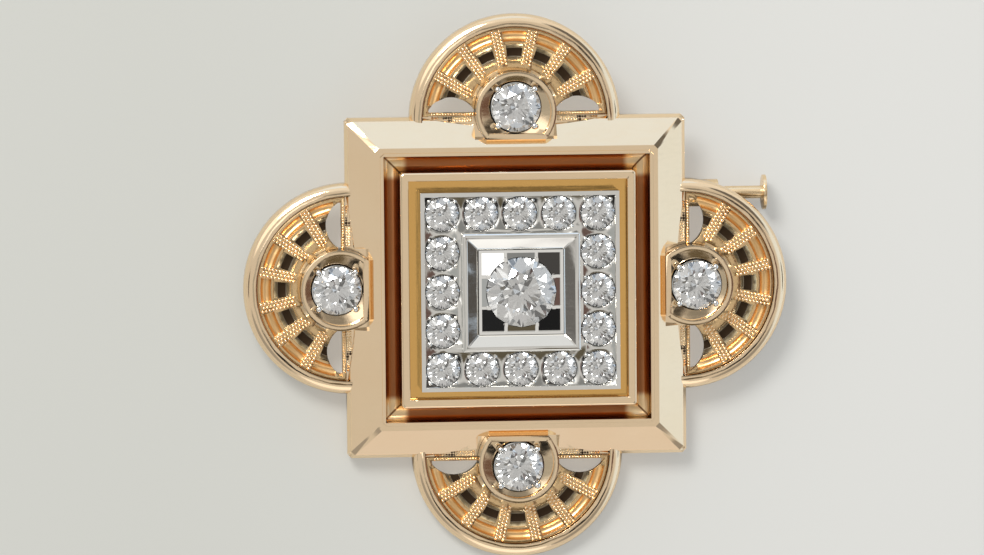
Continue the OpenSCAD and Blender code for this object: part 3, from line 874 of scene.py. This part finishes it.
def turned_copies(tree, geometry, count, first, step, centre=None):
    spots = add_node(tree, "GeometryNodeMeshLine", {"Count": count, "Offset": (0, 0, 0)})
    if centre is not None:
        tree.links.new(centre, spots.inputs["Start Location"])
    order = add_node(tree, "GeometryNodeInputIndex").outputs[0]
    angle = figure(tree, "MULTIPLY_ADD", order, step, first)
    turn = add_node(tree, "FunctionNodeEulerToRotation", {"Euler": point(tree, z=angle)})
    copies = add_node(tree, "GeometryNodeInstanceOnPoints", {
        "Points": spots.outputs[0], "Instance": geometry, "Rotation": turn.outputs[0]})
    return real(tree, copies.outputs[0])


def on_every_side(tree, geometry):
    return turned_copies(tree, geometry, len(SIDES), 0.0, QUARTER)


def joined(tree, geometries):
    both = tree.nodes.new("GeometryNodeJoinGeometry")
    for geometry in geometries:
        tree.links.new(geometry, both.inputs[0])
    return both.outputs[0]


def drop_points(tree, geometry, value, operation, limit):
    found = add_node(tree, "FunctionNodeCompare", {"A": value, "B": limit}, operation=operation)
    return add_node(tree, "GeometryNodeDeleteGeometry", {
        "Geometry": geometry, "Selection": found.outputs[0]}, domain="POINT").outputs[0]


# %% Balls, and growing a tree into a mesh
BALL_SEGMENTS, BALL_RINGS = 8, 6
BALL_SCALES = (0.85, 1.12)
BALL_SEED = 7


def balls_on(tree, points, size, finish):
    ball = add_node(tree, "GeometryNodeMeshUVSphere", {
        "Segments": BALL_SEGMENTS, "Rings": BALL_RINGS,
        "Radius": figure(tree, "MULTIPLY", size, 0.5)})
    smallest, largest = BALL_SCALES
    scale = add_node(tree, "FunctionNodeRandomValue", {
        2: smallest, 3: largest, "Seed": BALL_SEED})
    balls = add_node(tree, "GeometryNodeInstanceOnPoints", {
        "Points": points, "Instance": ball.outputs["Mesh"], "Scale": scale.outputs[1]})
    smooth = add_node(tree, "GeometryNodeSetShadeSmooth", {
        "Geometry": real(tree, balls.outputs[0])})
    done = add_node(tree, "GeometryNodeSetMaterial", {
        "Geometry": smooth.outputs[0], "Material": finish})
    tree.links.new(done.outputs[0], tree.nodes.new("NodeGroupOutput").inputs[0])


def grow(name, tree, sizes):
    obj = bpy.data.objects.new(name, bpy.data.meshes.new(name))
    bpy.context.scene.collection.objects.link(obj)
    modifier = obj.modifiers.new("grow", "NODES")
    modifier.node_group = tree
    for item in tree.interface.items_tree:
        if item.in_out == "INPUT":
            modifier[item.identifier] = sizes[item.name]
    to_plain_mesh(obj)
    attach(obj, "brooch")
    print(name, len(obj.data.polygons), "faces")


# %% [markdown]
# ## Grains on the ribs of the fans
#
# Between the bays of a fan run six ribs, each covered with three rows of grains, the middle
# row half a step on from its neighbours. A bump in the metal could suggest them, but they
# stand so high that they show from the side. The tree lays one rib out as a small grid, turns
# it to every rib and every lobe, and drops the points that would fall under the bezel.

# %% Rib grains
bezel_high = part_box("east_bezel")[1]
bezel_r = bezel_high.y
bezel_x = bezel_high.x - bezel_r
RIB_SIZES = {
    "Grain Size": 0.27 * MM, "Grain Pitch": 0.27 * MM, "Rows": 3,
    "Ribs": 6, "Rib Pitch": math.radians(24),
    "Rib Start": 3.3 * MM, "Rib End": fan_r - 0.16 * MM,
    "Lobe Place": lobe_x, "Bezel Place": bezel_x, "Bezel Clear": bezel_r + 0.42 * MM,
    "Plate Top": fan_top - 0.02 * MM,
}


def rib_grain_tree():
    tree, size = new_tree("rib_grains", RIB_SIZES)
    pitch, rows = size["Grain Pitch"], size["Rows"]
    length = length_of(tree, size["Rib Start"], size["Rib End"])
    steps = steps_in(tree, length, pitch)
    grid = grid_of(tree, figure(tree, "MULTIPLY", steps, pitch), span_of(tree, rows, pitch),
        figure(tree, "ADD", steps, 1.0), rows)
    order = add_node(tree, "GeometryNodeInputIndex").outputs[0]
    odd_row = figure(tree, "MODULO", figure(tree, "MODULO", order, rows), 2.0)
    stagger = figure(tree, "MULTIPLY", odd_row, figure(tree, "MULTIPLY", pitch, -0.5))
    middle = figure(tree, "SUBTRACT", size["Rib End"], figure(tree, "MULTIPLY", length, 0.5))
    along = figure(tree, "ADD", middle, stagger)
    rib = moved(tree, grid, point(tree, along, z=size["Plate Top"]))
    first = figure(tree, "MULTIPLY", span_of(tree, size["Ribs"], size["Rib Pitch"]), -0.5)
    lobe = turned_copies(tree, rib, size["Ribs"], first, size["Rib Pitch"],
        point(tree, size["Lobe Place"]))
    kept = drop_points(tree, lobe, away_from(tree, size["Bezel Place"]),
        "LESS_THAN", size["Bezel Clear"])
    balls_on(tree, on_every_side(tree, kept), size["Grain Size"], GRAINED)
    return tree


grow("rib_grains", rib_grain_tree(), RIB_SIZES)

# %% [markdown]
# ## Grains along the openings
#
# A thin strip of each fan runs beside the frame, past the lens-shaped openings. One row of
# smaller grains follows it. It is one row only, so a line of points on each side of the bezel
# is enough, where the ribs needed a grid.

# %% Strip grains
frame_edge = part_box("outer_frame")[1].x
STRIP_SIZES = {
    "Grain Size": 0.2 * MM, "Grain Pitch": 0.2 * MM, "Strip Place": frame_edge + 0.175 * MM,
    "Strip Start": bezel_r + 0.12 * MM, "Strip End": fan_r - 0.25 * MM, "Plate Top": fan_top,
}


def strip_grain_tree():
    tree, size = new_tree("strip_grains", STRIP_SIZES)
    length = length_of(tree, size["Strip Start"], size["Strip End"])
    count = steps_in(tree, length, size["Grain Pitch"])
    halves = []
    for side in (1.0, -1.0):
        start = point(tree, size["Strip Place"],
            figure(tree, "MULTIPLY", size["Strip Start"], side), size["Plate Top"])
        step = point(tree, y=figure(tree, "MULTIPLY", size["Grain Pitch"], side))
        halves.append(add_node(tree, "GeometryNodeMeshLine", {
            "Count": count, "Start Location": start, "Offset": step}).outputs[0])
    strips = on_every_side(tree, joined(tree, halves))
    balls_on(tree, strips, size["Grain Size"], GRAINED)
    return tree


grow("strip_grains", strip_grain_tree(), STRIP_SIZES)

# %% [markdown]
# ## Grains in the hollows
#
# Behind each lobe the frame is hollowed in a shallow curve, and the step that is left there
# is grained as the fans are. The step's outline could be traced, but it is easier to fill a
# small grid beside the frame's edge and to drop the points that fall inside the wall.

# %% Hollow grains
HOLLOW_W, HOLLOW_CHORD, HOLLOW_H = 0.75 * MM, 7.15 * MM, 0.65 * MM
hollow_r = (HOLLOW_CHORD ** 2 + HOLLOW_W ** 2) / (2 * HOLLOW_W)
HOLLOW_SIZES = {
    "Grain Size": 0.2 * MM, "Grain Pitch": 0.2 * MM, "Rows": 3,
    "Hollow Start": bezel_r + 0.2 * MM, "Hollow End": fan_r - 0.25 * MM,
    "Edge Place": frame_edge - 0.1 * MM,
    "Curve Place": frame_edge - HOLLOW_W + hollow_r, "Curve Size": hollow_r - 0.1 * MM,
    "Step Top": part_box("outer_frame")[0].z + HOLLOW_H,
}


def hollow_grain_tree():
    tree, size = new_tree("hollow_grains", HOLLOW_SIZES)
    pitch = size["Grain Pitch"]
    length = length_of(tree, size["Hollow Start"], size["Hollow End"])
    steps = steps_in(tree, length, pitch)
    width = span_of(tree, size["Rows"], pitch)
    middle = figure(tree, "ADD", size["Hollow Start"], figure(tree, "MULTIPLY", length, 0.5))
    inward = figure(tree, "SUBTRACT", size["Edge Place"], figure(tree, "MULTIPLY", width, 0.5))
    halves = []
    for side in (1.0, -1.0):
        grid = grid_of(tree, width, figure(tree, "MULTIPLY", steps, pitch),
            size["Rows"], figure(tree, "ADD", steps, 1.0))
        spot = point(tree, inward, figure(tree, "MULTIPLY", middle, side), size["Step Top"])
        halves.append(moved(tree, grid, spot))
    kept = drop_points(tree, joined(tree, halves), away_from(tree, size["Curve Place"]),
        "GREATER_THAN", size["Curve Size"])
    balls_on(tree, on_every_side(tree, kept), size["Grain Size"], GRAINED)
    return tree


grow("hollow_grains", hollow_grain_tree(), HOLLOW_SIZES)

# %% [markdown]
# ## Grains round the border stones
#
# Each border stone is held by four grains, raised from the plaque with a graver and rounded
# over the girdle. They could be placed stone by stone. But the stones stand in a square, so
# the tree is a grid of points with its middle taken out, and four balls round each point.

# %% Setting grains
first, second = (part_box(f"border_diamond_{n:02d}") for n in (1, 2))
stone_r = (first[1].x - first[0].x) / 2
stone_row = (first[0].y + first[1].y) / 2
stone_pitch = second[0].x - first[0].x
SETTING_SIZES = {
    "Grain Size": 0.34 * MM, "Grain Reach": stone_r + 0.1 * MM,
    "Stones": 1 + round(2 * stone_row / stone_pitch), "Row Place": stone_row,
    "Plaque Top": (first[0].z + first[1].z) / 2 + 0.34 * MM,
}
INSIDE_ROW = 0.9
print("stone pitch", round(stone_pitch / MM, 3), "row", round(stone_row / MM, 3))


def setting_grain_tree():
    tree, size = new_tree("setting_grains", SETTING_SIZES)
    side = figure(tree, "MULTIPLY", size["Row Place"], 2.0)
    grid = grid_of(tree, side, side, size["Stones"], size["Stones"])
    place = here(tree)
    reach = figure(tree, "MAXIMUM",
        *[figure(tree, "ABSOLUTE", place[axis]) for axis in ("X", "Y")])
    inside = figure(tree, "MULTIPLY", size["Row Place"], INSIDE_ROW)
    border = drop_points(tree, grid, reach, "LESS_THAN", inside)
    across = figure(tree, "MULTIPLY", size["Grain Reach"], math.sqrt(2))
    sets = add_node(tree, "GeometryNodeInstanceOnPoints", {
        "Points": border, "Instance": grid_of(tree, across, across, 2, 2)})
    points = real(tree, sets.outputs[0])
    raised = moved(tree, points, point(tree, z=size["Plaque Top"]))
    balls_on(tree, raised, size["Grain Size"], WHITE)
    return tree


grow("setting_grains", setting_grain_tree(), SETTING_SIZES)
